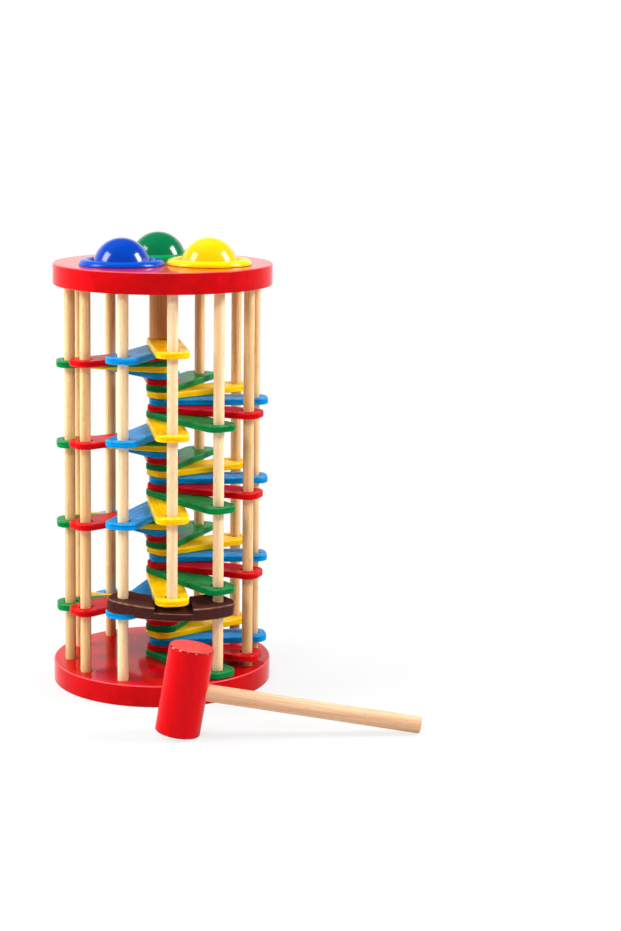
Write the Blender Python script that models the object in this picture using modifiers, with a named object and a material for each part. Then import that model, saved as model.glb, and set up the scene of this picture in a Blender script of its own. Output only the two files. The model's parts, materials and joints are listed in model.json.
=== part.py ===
"""Pounding ball tower: a wooden toy with a spiral of coloured steps between two red discs.

Balls are pounded through three soft collars in the top disc, roll down the steps round the centre
post and leave under a bridge at the front. A small hammer lies beside the tower.

Metres, +Z up. The origin is the middle of the base's underside, and the exit faces -Y.
An angle round the tower is in degrees from the front, growing towards +X.
"""

import math

import bmesh
import bpy
from mathutils import Matrix, Vector

MM = 0.001
WELD = 0.001 * MM        # points closer than this are one

# Fits between the pieces
SEAT_GAP = 0.3 * MM      # between faces that bear on each other
PEG_FIT = 0.25 * MM      # round a post in its blind hole
THREAD_FIT = 0.9 * MM    # round a post where it threads a step
SPINDLE_FIT = 0.6 * MM   # round the centre spindle in the steps
RECESS_FIT = 1.7 * MM    # beside a step that is let into the bridge

# Discs
DISC_D = 165 * MM
DISC_T = 16 * MM
DISC_EDGE_R = 1.5 * MM
PEG_DEPTH = 8 * MM

# Posts
POST_COUNT = 12
POST_D = 8 * MM
POST_INSET = 12.5 * MM   # from the disc's edge to a post's middle
CENTRE_POST_D = 20 * MM
SPINDLE_D = 10 * MM      # the centre post's thin length, through the steps

# Steps
TURNS = 4
STEP_T = 4.7 * MM
STEP_TIP_W = 25 * MM
STEP_HUB_W = 24.4 * MM
STEP_TIP = 10 * MM       # from the post's middle to the step's end
STEP_BACK = 10.1 * MM    # from the tower's axis to the step's inner end
STEP_TIP_R = 9 * MM
STEP_HUB_R = 8 * MM
DROP_ROOM = 41.7 * MM    # from the top step to the top disc
GLUE_SPOT_D = 10 * MM
GLUE_SPOT_AT = 24 * MM   # from the tower's axis
GLUE_BITE = 0.25 * MM

# Bridge over the exit
BRIDGE_T = 9.8 * MM
BRIDGE_DEPTH = 25 * MM   # from its inner to its outer edge
BRIDGE_EDGE = 1.5 * MM   # in from the disc's edge
BRIDGE_END = 10.5 * MM   # past the middle of the posts that carry it
BRIDGE_CORNER_R = 8 * MM
BRIDGE_DROP = 6.3 * MM   # of its middle, at the front post, under the step that comes down on it
BRIDGE_PITCH = math.radians(8)   # its front hangs low
BRIDGE_ROLL = math.radians(4)    # and so does its +X end
RECESS_DEPTH = 3.8 * MM  # under the step that comes down on it

# Balls and collars
BALL_D = 42.4 * MM
BALL_RISE = -1 * MM      # of the ball's middle over the top disc
BALL_ROOM = 2 * MM       # between a ball's girth and the bead of its collar
COLLAR_D = 63.4 * MM
COLLAR_SPACING = 1.6 * MM
COLLAR_BEAD_H = 4 * MM
COLLAR_WALL = 1 * MM     # from the bead's inner edge to the hole in the disc
COLLAR_BITE = 1 * MM     # of the collar's lip under the ball's girth, all round
COLLAR_LIP_H = 3 * MM
COLLAR_FOOT_W = 2.2 * MM

# Hammer
HEAD_D = 32 * MM
HEAD_L = 62 * MM
HEAD_EDGE_R = 1 * MM
HANDLE_D = 12 * MM
HANDLE_REACH = 168 * MM  # from the head's axis to the handle's far end
HANDLE_SOCKET = 8 * MM   # past the head's axis
HANDLE_EDGE_R = 1.2 * MM
HAMMER_AT = Vector((1 * MM, -146 * MM))
HAMMER_HEADING = math.radians(-6.4)

# Roundness
DISC_SIDES = 60
POST_SIDES = 12
COLLAR_SIDES = 30
CORNER_SIDES = 3
BEAD_SIDES = 8
BALL_RINGS = 11

# What follows from the sizes above
POST_PITCH = 360 / POST_COUNT
POST_RING_R = DISC_D / 2 - POST_INSET
STEP_COUNT = TURNS * POST_COUNT
STEP_REACH = POST_RING_R + STEP_TIP
EXIT_STEP = STEP_COUNT - POST_COUNT + 1
BRIDGE_OUT_R = DISC_D / 2 - BRIDGE_EDGE
BRIDGE_IN_R = BRIDGE_OUT_R - BRIDGE_DEPTH
COLLAR_RING_R = (COLLAR_D + COLLAR_SPACING) / math.sqrt(3)
COLLAR_BEAD_W = (COLLAR_D - BALL_D) / 2 - BALL_ROOM
COLLAR_HOLE_D = BALL_D + 2 * (BALL_ROOM + COLLAR_WALL)

# The steps' outer ends sag a little more with each step down, in degrees
STEP_SAG = 0.033
STEP_TILT = {number: -STEP_SAG * (number - 1) for number in range(1, EXIT_STEP + 1)}

# The bridge holds the ones that pass under it down by more
TILTS_UNDER_BRIDGE = (-5.0, -2.6, -1.2, -0.5, -0.5)
for steps_on, tilt in enumerate(TILTS_UNDER_BRIDGE, 1):
    STEP_TILT[EXIT_STEP + steps_on] = tilt

# In each turn these steps behind the tower are glued to the one below, as one piece
GLUED_STEPS = (5, 7, 9)

STEP_COLOURS = ("yellow", "blue", "red", "green")
COLLAR_ANGLES = {"blue": -60, "yellow": 60, "green": 180}

# Base colour, roughness
PAINTS = {
    "red": ((0.62, 0.010, 0.016), 0.28),
    "yellow": ((0.95, 0.60, 0.004), 0.30),
    "blue": ((0.005, 0.23, 0.75), 0.30),
    "green": ((0.005, 0.19, 0.035), 0.30),
    "brown": ((0.065, 0.026, 0.021), 0.40),
    "beech": ((0.80, 0.53, 0.30), 0.55),
    "ball_blue": ((0.005, 0.06, 0.45), 0.18),
    "ball_yellow": ((0.90, 0.62, 0.004), 0.18),
    "ball_green": ((0.004, 0.20, 0.06), 0.18),
}


def clear_scene():
    for old in list(bpy.data.objects):
        bpy.data.objects.remove(old, do_unlink=True)


def make_collection(name):
    collection = bpy.data.collections.new(name)
    bpy.context.scene.collection.children.link(collection)
    return collection


def make_material(name, paint):
    colour, roughness = PAINTS[paint]
    material = bpy.data.materials.new(name)
    material.use_nodes = True
    shader = material.node_tree.nodes["Principled BSDF"]
    shader.inputs["Base Color"].default_value = (*colour, 1.0)
    shader.inputs["Roughness"].default_value = roughness
    shader.inputs["Metallic"].default_value = 0.0
    return material


def add_part(name, mesh, paint, place=Matrix.Identity(4)):
    mesh.materials.clear()
    mesh.materials.append(make_material(name, paint))
    mesh.shade_smooth()
    mesh.set_sharp_from_angle(angle=math.radians(35))
    part = bpy.data.objects.new(name, mesh)
    part.matrix_world = place
    parts.objects.link(part)
    return part


def add_cutter(name, mesh, place=Matrix.Identity(4)):
    cutter = bpy.data.objects.new(name, mesh)
    cutter.matrix_world = place
    cutter.hide_render = True
    cutter.display_type = "WIRE"
    cutters.objects.link(cutter)
    return cutter


def add_boolean(part, cutter, operation="DIFFERENCE"):
    boolean = part.modifiers.new(cutter.name, "BOOLEAN")
    boolean.object = cutter
    boolean.operation = operation
    boolean.solver = "EXACT"


def add_bevel(part, width, segments=2):
    bevel = part.modifiers.new("rounded_edges", "BEVEL")
    bevel.width = width
    bevel.segments = segments
    bevel.limit_method = "ANGLE"
    bevel.angle_limit = math.radians(60)


def on_circle(radius, angle):
    """The point at a radius from the tower's axis and an angle from the front."""
    turn = math.radians(angle)
    return Vector((radius * math.sin(turn), -radius * math.cos(turn)))


def circle(centre, radius, sides):
    turns = [2 * math.pi * i / sides for i in range(sides)]
    return [(centre[0] + radius * math.cos(t), centre[1] + radius * math.sin(t)) for t in turns]


def arc(centre, radius, start, end, sides):
    """Points on an arc in the plan, from one direction to another in degrees from +X."""
    turns = [math.radians(start + (end - start) * i / sides) for i in range(sides + 1)]
    return [(centre[0] + radius * math.cos(t), centre[1] + radius * math.sin(t)) for t in turns]


def cylinder_mesh(name, places, diameter, length, sides):
    """Upright cylinders in one mesh, each from its place upwards."""
    bm = bmesh.new()
    for place in places:
        middle = Matrix.Translation(Vector(place) + Vector((0, 0, length / 2)))
        bmesh.ops.create_cone(bm, cap_ends=True, segments=sides, radius1=diameter / 2,
                              radius2=diameter / 2, depth=length, matrix=middle)
    mesh = bpy.data.meshes.new(name)
    bm.to_mesh(mesh)
    bm.free()
    return mesh


def box_mesh(name, low, high):
    low, high = Vector(low), Vector(high)
    bm = bmesh.new()
    size = Matrix.Diagonal((*(high - low), 1))
    bmesh.ops.create_cube(bm, size=1, matrix=Matrix.Translation((low + high) / 2) @ size)
    mesh = bpy.data.meshes.new(name)
    bm.to_mesh(mesh)
    bm.free()
    return mesh


def evaluated_mesh(source, name):
    """The object's mesh with its modifiers, welded. The object is removed."""
    bpy.context.view_layer.update()
    evaluated = source.evaluated_get(bpy.context.evaluated_depsgraph_get())
    mesh = bpy.data.meshes.new_from_object(evaluated)
    bpy.data.objects.remove(source, do_unlink=True)
    mesh.name = name
    bm = bmesh.new()
    bm.from_mesh(mesh)
    bmesh.ops.remove_doubles(bm, verts=bm.verts, dist=WELD)
    bm.to_mesh(mesh)
    bm.free()
    return mesh


def plate_mesh(name, outlines, thickness):
    """A flat plate with its underside at Z 0, from its outline and the outlines of its holes."""
    curve = bpy.data.curves.new(name, "CURVE")
    curve.dimensions = "2D"
    curve.fill_mode = "BOTH"
    curve.extrude = thickness / 2
    for outline in outlines:
        spline = curve.splines.new("POLY")
        spline.points.add(len(outline) - 1)
        spline.use_cyclic_u = True
        for point, (x, y) in zip(spline.points, outline):
            point.co = (x, y, 0, 1)
    source = bpy.data.objects.new(name, curve)
    cutters.objects.link(source)
    mesh = evaluated_mesh(source, name)
    mesh.transform(Matrix.Translation((0, 0, thickness / 2)))
    return mesh


def lathe_mesh(name, profile, sides, closed):
    """A profile of (radius, height), run down its outer side and turned about Z."""
    bm = bmesh.new()
    points = [bm.verts.new((radius, 0, height)) for radius, height in profile]
    for first, second in zip(points, points[1:]):
        bm.edges.new((first, second))
    if closed:
        bm.edges.new((points[-1], points[0]))
    mesh = bpy.data.meshes.new(name)
    bm.to_mesh(mesh)
    bm.free()
    source = bpy.data.objects.new(name, mesh)
    cutters.objects.link(source)
    screw = source.modifiers.new("turned", "SCREW")
    screw.steps = sides
    screw.render_steps = sides
    screw.use_merge_vertices = True
    screw.merge_threshold = WELD
    return evaluated_mesh(source, name)


def step_angle(number):
    """The steps go down from the front towards -X."""
    return -POST_PITCH * (number - 1)


def step_slope(number):
    return math.tan(math.radians(STEP_TILT.get(number, 0)))


def step_heights():
    """The underside of each step at the tower's axis, stacked up from the base."""
    lap_reach = STEP_TIP_W / 2 / math.tan(math.radians(POST_PITCH / 2))
    heights = {STEP_COUNT: DISC_T + SEAT_GAP}
    for number in range(STEP_COUNT - 1, 0, -1):
        closing = step_slope(number + 1) - step_slope(number)
        room = max(closing * lap_reach, -closing * STEP_BACK)
        heights[number] = heights[number + 1] + STEP_T + SEAT_GAP + room
    return heights


def step_place(number):
    """A step's own +X runs from the tower's axis along the step."""
    lift = Matrix.Translation((0, 0, step_bottom[number]))
    heading = Matrix.Rotation(math.radians(step_angle(number) - 90), 4, "Z")
    return lift @ heading @ Matrix.Rotation(-math.atan(step_slope(number)), 4, "Y")


def step_mesh():
    tip, hub = STEP_TIP_W / 2 - STEP_TIP_R, STEP_HUB_W / 2 - STEP_HUB_R
    far, near = STEP_REACH - STEP_TIP_R, STEP_HUB_R - STEP_BACK
    outline = []
    outline += arc((far, tip), STEP_TIP_R, 0, 90, CORNER_SIDES)
    outline += arc((near, hub), STEP_HUB_R, 90, 180, CORNER_SIDES)
    outline += arc((near, -hub), STEP_HUB_R, 180, 270, CORNER_SIDES)
    outline += arc((far, -tip), STEP_TIP_R, 270, 360, CORNER_SIDES)
    spindle_hole = circle((0, 0), SPINDLE_D / 2 + SPINDLE_FIT, POST_SIDES)
    post_hole = circle((POST_RING_R, 0), POST_D / 2 + THREAD_FIT, POST_SIDES)
    return plate_mesh("step", [outline, spindle_hole, post_hole], STEP_T)


def glued_pair_mesh(single, number):
    """A step and the one below it, joined by a spot of glue where they lap."""
    below = step_place(number).inverted() @ step_place(number + 1)
    between = math.radians(-POST_PITCH / 2)
    spot_at = (GLUE_SPOT_AT * math.cos(between), GLUE_SPOT_AT * math.sin(between), -SEAT_GAP - GLUE_BITE)
    spot_h = SEAT_GAP + 2 * GLUE_BITE
    upper = bpy.data.objects.new("upper_step", single.copy())
    cutters.objects.link(upper)
    lower = add_cutter("lower_step", single.copy(), below)
    spot = add_cutter("glue_spot", cylinder_mesh("glue_spot", [spot_at], GLUE_SPOT_D, spot_h, POST_SIDES))
    add_boolean(upper, spot, "UNION")
    add_boolean(upper, lower, "UNION")
    pair = evaluated_mesh(upper, "glued_steps")
    for helper in (lower, spot):
        bpy.data.objects.remove(helper, do_unlink=True)
    return pair


def add_steps():
    single = step_mesh()
    for number in range(1, STEP_COUNT + 1):
        place_in_turn = (number - 1) % POST_COUNT + 1
        paint = STEP_COLOURS[(number - 1) % len(STEP_COLOURS)]
        if place_in_turn in GLUED_STEPS:
            pair = glued_pair_mesh(single, number)
            add_part(f"steps_{number:02d}_{number + 1:02d}", pair, paint, step_place(number))
        elif place_in_turn - 1 not in GLUED_STEPS:
            add_part(f"step_{number:02d}", single.copy(), paint, step_place(number))


def add_disc(name, underside):
    mesh = cylinder_mesh(name, [(0, 0, 0)], DISC_D, DISC_T, DISC_SIDES)
    disc = add_part(name, mesh, "red", Matrix.Translation((0, 0, underside)))
    add_bevel(disc, DISC_EDGE_R)
    return disc


def drill_pegs(disc, angles, centre_d, floor):
    """Blind holes for the posts and the centre post, from their floor out of the disc's face."""
    depth = PEG_DEPTH + SEAT_GAP
    posts = [(*on_circle(POST_RING_R, angle), floor) for angle in angles]
    pegs = cylinder_mesh(disc.name + "_pegs", posts, POST_D + 2 * PEG_FIT, depth, POST_SIDES)
    add_boolean(disc, add_cutter(disc.name + "_pegs", pegs))
    middle_d = centre_d + 2 * PEG_FIT
    middle = cylinder_mesh(disc.name + "_centre", [(0, 0, floor)], middle_d, depth, 2 * POST_SIDES)
    add_boolean(disc, add_cutter(disc.name + "_centre", middle))


def add_discs():
    angles = [i * POST_PITCH for i in range(POST_COUNT)]
    base = add_disc("base_disc", 0)
    drill_pegs(base, angles[1:], SPINDLE_D, DISC_T - PEG_DEPTH)
    top = add_disc("top_disc", top_underside)
    drill_pegs(top, angles, CENTRE_POST_D, top_underside - SEAT_GAP)
    floor = top_underside - DISC_T / 2
    holes = [(*on_circle(COLLAR_RING_R, angle), floor) for angle in COLLAR_ANGLES.values()]
    bores = cylinder_mesh("collar_bores", holes, COLLAR_HOLE_D, 2 * DISC_T, COLLAR_SIDES)
    add_boolean(top, add_cutter("collar_bores", bores))


def add_posts():
    """The front post stops in the step above the exit, and the others run from disc to disc."""
    upper_end = top_underside + PEG_DEPTH - 2 * SEAT_GAP
    for i in range(POST_COUNT):
        lower_end = DISC_T - PEG_DEPTH + SEAT_GAP
        if i == 0:
            lower_end = step_bottom[EXIT_STEP] + POST_RING_R * step_slope(EXIT_STEP)
        foot = Matrix.Translation((*on_circle(POST_RING_R, i * POST_PITCH), lower_end))
        mesh = cylinder_mesh("post", [(0, 0, 0)], POST_D, upper_end - lower_end, POST_SIDES)
        add_part(f"post_{i + 1:02d}", mesh, "beech", foot)


def add_centre_post():
    """A thick length from the top disc down to the steps, and a thin one on through them."""
    upper_end = top_underside + PEG_DEPTH - 2 * SEAT_GAP
    shoulder = step_bottom[1] + STEP_T + SEAT_GAP
    lower_end = DISC_T - PEG_DEPTH + SEAT_GAP
    thick, thin = CENTRE_POST_D / 2, SPINDLE_D / 2
    profile = [(0, upper_end), (thick, upper_end), (thick, shoulder)]
    profile += [(thin, shoulder), (thin, lower_end), (0, lower_end)]
    add_part("centre_post", lathe_mesh("centre_post", profile, 2 * POST_SIDES, False), "beech")


def bridge_outline():
    """A stretch of a ring with rounded corners, symmetric about the front."""
    end = POST_PITCH + math.degrees(BRIDGE_END / POST_RING_R)
    corner = BRIDGE_CORNER_R
    outer_r, inner_r = BRIDGE_OUT_R - corner, BRIDGE_IN_R + corner
    outer_turn = end - math.degrees(math.asin(corner / outer_r))
    inner_turn = end - math.degrees(math.asin(corner / inner_r))
    sides = 4 * CORNER_SIDES
    half = arc((0, 0), BRIDGE_OUT_R, -90, outer_turn - 90, sides)
    half += arc(on_circle(outer_r, outer_turn), corner, outer_turn - 90, end, CORNER_SIDES)[1:]
    half += arc(on_circle(inner_r, inner_turn), corner, end, inner_turn + 90, CORNER_SIDES)
    half += arc((0, 0), BRIDGE_IN_R, inner_turn - 90, -90, sides)[1:]
    other_half = [(-x, y) for x, y in reversed(half[1:-1])]
    return half + other_half


def add_bridge():
    """The bridge lies between the step that comes down on it and the next one, which passes under.

    The posts on either side of the front one thread it.
    """
    front = Vector((*on_circle(POST_RING_R, 0), 0))
    place = Matrix.Translation(front + Vector((0, 0, bridge_middle)))
    place = place @ Matrix.Rotation(BRIDGE_PITCH, 4, "X") @ Matrix.Rotation(BRIDGE_ROLL, 4, "Y")
    place = place @ Matrix.Translation(-front - Vector((0, 0, BRIDGE_T / 2)))
    bridge = add_part("bridge", plate_mesh("bridge", [bridge_outline()], BRIDGE_T), "brown", place)

    recess_w = STEP_TIP_W / 2 + RECESS_FIT
    recess = box_mesh("recess", (-recess_w, -DISC_D, BRIDGE_T - RECESS_DEPTH), (recess_w, 0, 2 * BRIDGE_T))
    add_boolean(bridge, add_cutter("recess", recess, place))
    half_w = STEP_TIP_W / 2 + THREAD_FIT
    over = box_mesh("room_above", (0, -half_w, -SEAT_GAP), (DISC_D, half_w, 2 * BRIDGE_T))
    under = box_mesh("room_below", (0, -half_w, -2 * BRIDGE_T), (DISC_D, half_w, STEP_T + SEAT_GAP))
    add_boolean(bridge, add_cutter("room_above", over, step_place(EXIT_STEP)))
    add_boolean(bridge, add_cutter("room_below", under, step_place(EXIT_STEP + 1)))

    side_posts = [(*on_circle(POST_RING_R, angle), 0) for angle in (-POST_PITCH, POST_PITCH)]
    threads = cylinder_mesh("bridge_threads", side_posts, POST_D + 2 * THREAD_FIT, top_underside, POST_SIDES)
    add_boolean(bridge, add_cutter("bridge_threads", threads))


def collar_profile(lip_r, lip_z):
    """Heights are from the top disc's face. The bead lies on it and the sleeve fills the hole."""
    bead_r = COLLAR_D / 2 - COLLAR_BEAD_W / 2
    sleeve_r = COLLAR_HOLE_D / 2 - SEAT_GAP
    bead_turns = [math.pi * i / BEAD_SIDES for i in range(BEAD_SIDES, -1, -1)]
    profile = [(bead_r + COLLAR_BEAD_W / 2 * math.cos(t), SEAT_GAP + COLLAR_BEAD_H * math.sin(t))
               for t in bead_turns]
    foot = lip_z - COLLAR_LIP_H
    profile += [(sleeve_r, SEAT_GAP), (sleeve_r, foot), (sleeve_r - COLLAR_FOOT_W, foot)]
    profile += [(lip_r, lip_z - COLLAR_LIP_H / 3), (lip_r, lip_z)]
    return profile


def add_balls_and_collars():
    ball_r = BALL_D / 2
    top_face = top_underside + DISC_T
    lip_r = ball_r - COLLAR_BITE
    lip_z = BALL_RISE - math.sqrt((ball_r + SEAT_GAP) ** 2 - lip_r ** 2)
    for colour, angle in COLLAR_ANGLES.items():
        seat = Vector((*on_circle(COLLAR_RING_R, angle), top_face))
        collar = lathe_mesh("collar", collar_profile(lip_r, lip_z), COLLAR_SIDES, True)
        add_part("collar_" + colour, collar, "ball_" + colour, Matrix.Translation(seat))
        bm = bmesh.new()
        bmesh.ops.create_uvsphere(bm, u_segments=2 * BALL_RINGS, v_segments=BALL_RINGS, radius=ball_r)
        ball = bpy.data.meshes.new("ball")
        bm.to_mesh(ball)
        bm.free()
        middle = seat + Vector((0, 0, BALL_RISE))
        add_part("ball_" + colour, ball, "ball_" + colour, Matrix.Translation(middle))


def add_hammer():
    """The hammer stands on its head's rim and the end of its handle, leaning towards the handle."""
    lean = math.atan((HEAD_L - HANDLE_D) / (2 * HANDLE_REACH - HEAD_D))
    height = HEAD_L / 2 * math.cos(lean) + HEAD_D / 2 * math.sin(lean)
    grip = Matrix.Translation((*HAMMER_AT, height)) @ Matrix.Rotation(HAMMER_HEADING, 4, "Z")
    grip = grip @ Matrix.Rotation(lean, 4, "Y")
    along_handle = Matrix.Rotation(math.radians(90), 4, "Y")

    block = cylinder_mesh("hammer_head", [(0, 0, -HEAD_L / 2)], HEAD_D, HEAD_L, 2 * POST_SIDES)
    head = add_part("hammer_head", block, "red", grip)
    add_bevel(head, HEAD_EDGE_R)
    floor = (0, 0, -HANDLE_SOCKET - SEAT_GAP)
    bore = cylinder_mesh("handle_bore", [floor], HANDLE_D + 2 * PEG_FIT, HEAD_D, 2 * POST_SIDES)
    add_boolean(head, add_cutter("handle_bore", bore, grip @ along_handle))

    stick = cylinder_mesh("hammer_handle", [(0, 0, -HANDLE_SOCKET)], HANDLE_D,
                          HANDLE_SOCKET + HANDLE_REACH, 2 * POST_SIDES)
    handle = add_part("hammer_handle", stick, "beech", grip @ along_handle)
    add_bevel(handle, HANDLE_EDGE_R)


clear_scene()
parts = make_collection("pounding_ball_tower")
cutters = make_collection("cutters")

step_bottom = step_heights()
top_underside = step_bottom[1] + STEP_T + DROP_ROOM
bridge_middle = step_bottom[EXIT_STEP] - BRIDGE_DROP

add_discs()
add_posts()
add_centre_post()
add_steps()
add_bridge()
add_balls_and_collars()
add_hammer()
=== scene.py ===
import json
import math
import random

import bmesh
import bpy
from mathutils import Matrix, Vector


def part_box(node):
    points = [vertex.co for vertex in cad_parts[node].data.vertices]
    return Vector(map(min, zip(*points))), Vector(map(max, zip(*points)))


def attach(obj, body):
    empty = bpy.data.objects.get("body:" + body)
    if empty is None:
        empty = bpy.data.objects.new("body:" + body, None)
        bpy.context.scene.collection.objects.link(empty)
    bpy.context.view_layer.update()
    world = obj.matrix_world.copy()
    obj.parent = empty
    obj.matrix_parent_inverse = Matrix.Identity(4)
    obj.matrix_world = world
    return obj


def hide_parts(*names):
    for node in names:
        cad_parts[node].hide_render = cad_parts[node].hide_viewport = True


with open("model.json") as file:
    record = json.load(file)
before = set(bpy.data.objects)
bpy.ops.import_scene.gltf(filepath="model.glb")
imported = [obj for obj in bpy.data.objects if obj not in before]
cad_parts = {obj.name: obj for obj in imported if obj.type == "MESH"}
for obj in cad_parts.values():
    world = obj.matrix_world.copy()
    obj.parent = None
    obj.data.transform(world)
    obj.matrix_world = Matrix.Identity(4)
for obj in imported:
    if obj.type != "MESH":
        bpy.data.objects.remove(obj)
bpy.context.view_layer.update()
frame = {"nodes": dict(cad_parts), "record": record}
print("frame loaded:", len(frame["nodes"]), "nodes")

mm = 0.001
record = frame["record"]
bodyOfNode = {node: body for body, nodes in record["behaviour"]["bodies"].items() for node in nodes}
chance = random.Random(12)   # seeded: the slats come out the same each run
weld = 0.001 * mm            # points nearer than this are one
near = 0.01 * mm             # for picking edges by where they lie
creaseAngle = 50             # degrees: edges sharper than this are shaded as edges
squareAngle = 60             # degrees: edges that are still square


def linear(hexColour):
    channels = [int(hexColour[i:i + 2], 16) / 255 for i in (1, 3, 5)]
    return (*[c / 12.92 if c <= 0.04045 else ((c + 0.055) / 1.055) ** 2.4 for c in channels], 1.0)


def addNode(tree, kind, values=None, links=None, **settings):
    node = tree.nodes.new("ShaderNode" + kind)
    for name, value in settings.items():
        setattr(node, name, value)
    for socket, value in (values or {}).items():
        node.inputs[socket].default_value = value
    for socket, source in (links or {}).items():
        tree.links.new(source, node.inputs[socket])
    return node


def startMaterial(name, sockets):
    material = bpy.data.materials.new(name)
    material.use_nodes = True
    tree = material.node_tree
    tree.nodes.clear()
    shader = addNode(tree, "BsdfPrincipled", sockets)
    addNode(tree, "OutputMaterial", links={"Surface": shader.outputs[0]})
    return material, tree, shader


def linkSurface(tree, shader, colour, rough, bump):
    tree.links.new(colour.outputs[2], shader.inputs["Base Color"])
    tree.links.new(rough.outputs[0], shader.inputs["Roughness"])
    tree.links.new(bump.outputs[0], shader.inputs["Normal"])


# Beech, turned to dowels and waxed: pale tan, straight grain along the dowel, short brown flecks.
def makeBeech(name, tones, turn=(0, 0, 0)):
    pale, tan, line, brown = [linear(tone) for tone in tones]
    material, tree, shader = startMaterial(name, {"Specular IOR Level": 0.08})
    where = addNode(tree, "TexCoord").outputs["Object"]
    # Grain lines 1.2 mm apart. Real ones are half of that and would not show.
    grainCells = addNode(tree, "Mapping", {"Rotation": turn, "Scale": (1.2 * mm, 1.2 * mm, 45 * mm)},
                         {"Vector": where}, vector_type="TEXTURE")
    grain = addNode(tree, "TexNoise", {"Scale": 1, "Detail": 3, "Roughness": 0.65},
                    {"Vector": grainCells.outputs[0]})
    grainShare = addNode(tree, "MapRange", {"From Min": 0.38, "From Max": 0.68, "To Max": 0.55},
                         {"Value": grain.outputs[0]}, interpolation_type="SMOOTHSTEP")
    # Flecks 0.8 mm wide and 5 mm long, on a small share of the surface
    fleckCells = addNode(tree, "Mapping", {"Rotation": turn, "Scale": (0.8 * mm, 0.8 * mm, 5 * mm)},
                         {"Vector": where}, vector_type="TEXTURE")
    fleck = addNode(tree, "TexNoise", {"Scale": 1, "Detail": 1}, {"Vector": fleckCells.outputs[0]})
    fleckShare = addNode(tree, "MapRange", {"From Min": 0.62, "From Max": 0.74, "To Max": 0.3},
                         {"Value": fleck.outputs[0]}, interpolation_type="SMOOTHSTEP")
    # A slow change of tone, over 140 mm along the grain and 30 mm across it
    toneCells = addNode(tree, "Mapping", {"Rotation": turn, "Scale": (30 * mm, 30 * mm, 140 * mm)},
                        {"Vector": where}, vector_type="TEXTURE")
    tone = addNode(tree, "TexNoise", {"Scale": 1, "Detail": 1}, {"Vector": toneCells.outputs[0]})
    toneShare = addNode(tree, "MapRange", {"From Min": 0.35, "From Max": 0.65}, {"Value": tone.outputs[0]})
    ground = addNode(tree, "Mix", {6: pale, 7: tan}, {0: toneShare.outputs[0]}, data_type="RGBA")
    lined = addNode(tree, "Mix", {7: line}, {0: grainShare.outputs[0], 6: ground.outputs[2]},
                    data_type="RGBA")
    flecked = addNode(tree, "Mix", {7: brown}, {0: fleckShare.outputs[0], 6: lined.outputs[2]},
                      data_type="RGBA")
    rough = addNode(tree, "MapRange", {"To Min": 0.42, "To Max": 0.58}, {"Value": grain.outputs[0]})
    bump = addNode(tree, "Bump", {"Strength": 0.25, "Distance": 0.05 * mm}, {"Height": grain.outputs[0]})
    linkSurface(tree, shader, flecked, rough, bump)
    return material


# Gloss lacquer sprayed on board: deep red, faint clouds in the coat, a slight orange peel, and paler along
# the upper rims, which is a painted highlight on the rounded rim.
def makeLacquer(name, light, dark, thin):
    material, tree, shader = startMaterial(name, {
        "Specular IOR Level": 0.01, "Coat Weight": 1.0, "Coat Roughness": 0.07, "Coat IOR": 1.14})
    where = addNode(tree, "TexCoord").outputs["Object"]
    # Clouds of 12 mm
    cloud = addNode(tree, "TexNoise", {"Scale": 1 / (12 * mm), "Detail": 5, "Roughness": 0.65},
                    {"Vector": where})
    cloudShare = addNode(tree, "MapRange", {"From Min": 0.3, "From Max": 0.7}, {"Value": cloud.outputs[0]})
    colour = addNode(tree, "Mix", {6: linear(light), 7: linear(dark)}, {0: cloudShare.outputs[0]},
                     data_type="RGBA")
    # painted highlight: the marked upper rim is mixed toward the paler colour
    edge = addNode(tree, "Attribute", attribute_name="edge")
    edgeShare = addNode(tree, "Math", {1: 0.7}, {0: edge.outputs["Fac"]}, operation="MULTIPLY")
    edged = addNode(tree, "Mix", {7: linear(thin)}, {0: edgeShare.outputs[0], 6: colour.outputs[2]},
                    data_type="RGBA")
    rough = addNode(tree, "MapRange", {"To Min": 0.2, "To Max": 0.36}, {"Value": cloud.outputs[0]})
    # Orange peel of 1.5 mm
    peel = addNode(tree, "TexNoise", {"Scale": 1 / (1.5 * mm), "Detail": 2}, {"Vector": where})
    bump = addNode(tree, "Bump", {"Strength": 0.2, "Distance": 0.05 * mm}, {"Height": peel.outputs[0]})
    linkSurface(tree, shader, edged, rough, bump)
    return material


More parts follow.
